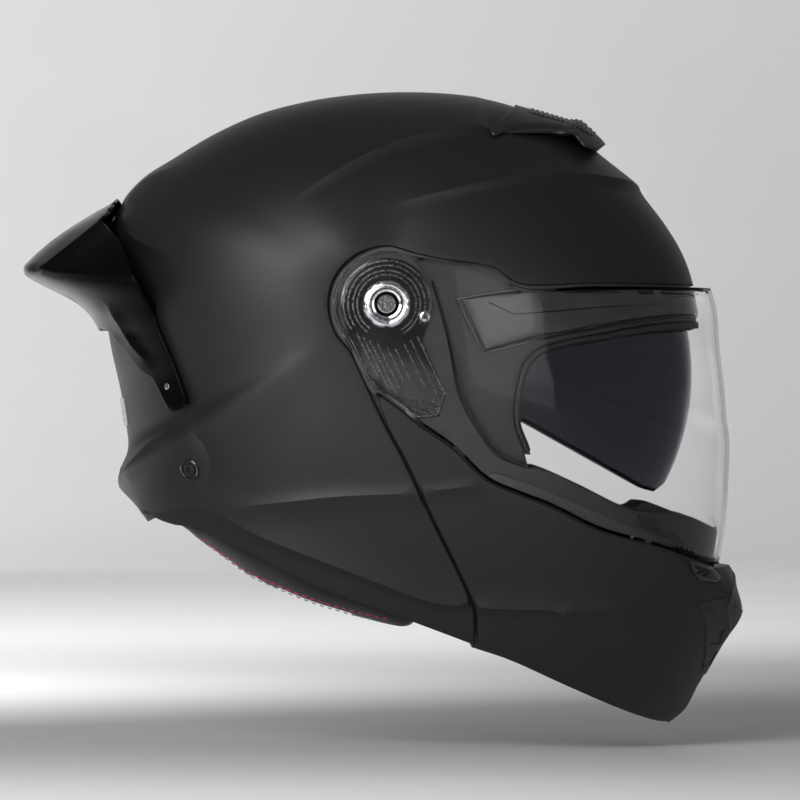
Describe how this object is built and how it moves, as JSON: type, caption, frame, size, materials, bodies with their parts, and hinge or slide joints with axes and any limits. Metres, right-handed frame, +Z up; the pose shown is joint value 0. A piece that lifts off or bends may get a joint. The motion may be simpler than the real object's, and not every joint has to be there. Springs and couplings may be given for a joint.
{
  "type": "flip-up motorcycle helmet",
  "caption": "Matt flip-up motorcycle helmet with a hinged chin bar, clear visor, drop-down sun visor, rear spoiler, foam liner, cloth pads and quick-release chin strap.",
  "frame": {"origin": "middle of the axis that the chin bar and the clear visor turn about, level with the wearer's ears", "axes": "+X forward out of the eye port, +Y to the wearer's left, +Z up through the crown, in the pose the helmet is worn in"},
  "size_m": [0.3884, 0.2558, 0.3394],
  "materials": {
    "shell_paint": "matt painted thermoplastic",
    "spoiler_gloss": "gloss black",
    "vent_plastic": "fine grained black",
    "pale_vent": "pale grey mesh",
    "rubber_black": "soft black",
    "rubber_grey": "fine grey texture",
    "foam": "expanded foam",
    "lining": "brushed cloth",
    "lining_roll": "woven cloth with two lines of stitching",
    "webbing": "woven strap",
    "clear": "clear polycarbonate",
    "smoke": "smoked polycarbonate",
    "chrome": "bright",
    "steel": "brushed",
    "screw_black": "black",
    "red_plastic": "red",
    "gloss_black": "gloss black"
  },
  "bodies": {
    "helmet": {"outer_shell": "shell_paint", "eyeport_seal": "rubber_black", "rear_spoiler": "spoiler_gloss", "spoiler_screws": "steel", "rear_vent": "pale_vent", "side_screws": "screw_black", "top_vent_housing": "vent_plastic", "eps_crown": "foam", "eps_brow": "foam", "eps_back": "foam", "eps_side_right": "foam", "eps_side_left": "foam", "crown_pad": "lining", "brow_pad": "lining", "nape_pad": "lining", "cheek_pad_right": "lining", "cheek_pad_left": "lining", "neck_roll": "lining_roll", "pivot_hubs": "screw_black", "pivot_rings": "chrome", "pivot_screws": "steel", "latch_strikers": "steel", "sun_visor_pins": "screw_black", "sun_lever_track": "vent_plastic", "strap_right": "webbing", "strap_left": "webbing", "strap_rivets": "steel", "buckle_socket": "steel", "buckle_tongue": "steel"},
    "chin_bar": {"chin_bar_shell": "shell_paint", "chin_bar_liner": "foam", "visor_rest_seal": "rubber_grey", "chin_vent_insert": "vent_plastic", "chin_vent_grille": "vent_plastic", "breath_deflector": "rubber_black", "latch_forks": "steel", "mechanism_plate_right": "gloss_black", "mechanism_plate_left": "gloss_black", "plate_screws": "chrome"},
    "visor": {"visor": "clear", "visor_tab": "gloss_black"},
    "sun_visor": {"sun_visor": "smoke"},
    "sun_lever": {"sun_lever": "vent_plastic"},
    "top_slider": {"top_vent_slider": "vent_plastic"},
    "release": {"release_button": "red_plastic"},
    "buckle_lever": {"buckle_lever": "red_plastic"}
  },
  "joints": [
    {"name": "chin_bar_hinge", "type": "hinge", "parent": "helmet", "child": "chin_bar", "pos_m": [0, 0, 0], "axis": [0, -1, 0], "range_deg": [0, 90]},
    {"name": "visor_hinge", "type": "hinge", "parent": "chin_bar", "child": "visor", "pos_m": [0, 0, 0], "axis": [0, -1, 0], "range_deg": [0, 50]},
    {"name": "sun_visor_hinge", "type": "hinge", "parent": "helmet", "child": "sun_visor", "pos_m": [0.038, 0, -0.036], "axis": [0, -1, 0], "range_deg": [0, 46]},
    {"name": "sun_lever_slide", "type": "slide", "parent": "helmet", "child": "sun_lever", "axis": [0.9059, 0.0503, -0.4205], "range_m": [0, 0.036]},
    {"name": "top_vent_slide", "type": "slide", "parent": "helmet", "child": "top_slider", "axis": [-0.9781, 0, 0.2079], "range_m": [0, 0.008]},
    {"name": "release_press", "type": "slide", "parent": "chin_bar", "child": "release", "axis": [0, 0, 1], "range_m": [0, 0.003], "stiffness_N_per_m": 600, "springref_m": -0.002},
    {"name": "buckle_lever_hinge", "type": "hinge", "parent": "helmet", "child": "buckle_lever", "pos_m": [0.054, -0.0085, -0.1777], "axis": [-1, 0, 0], "range_deg": [0, 40], "stiffness_Nm_per_rad": 0.05, "springref_deg": -11.46}
  ],
  "couplings": [
    {"joint": "sun_lever_slide", "follows": "sun_visor_hinge", "m_per_rad": 0.044}
  ]
}
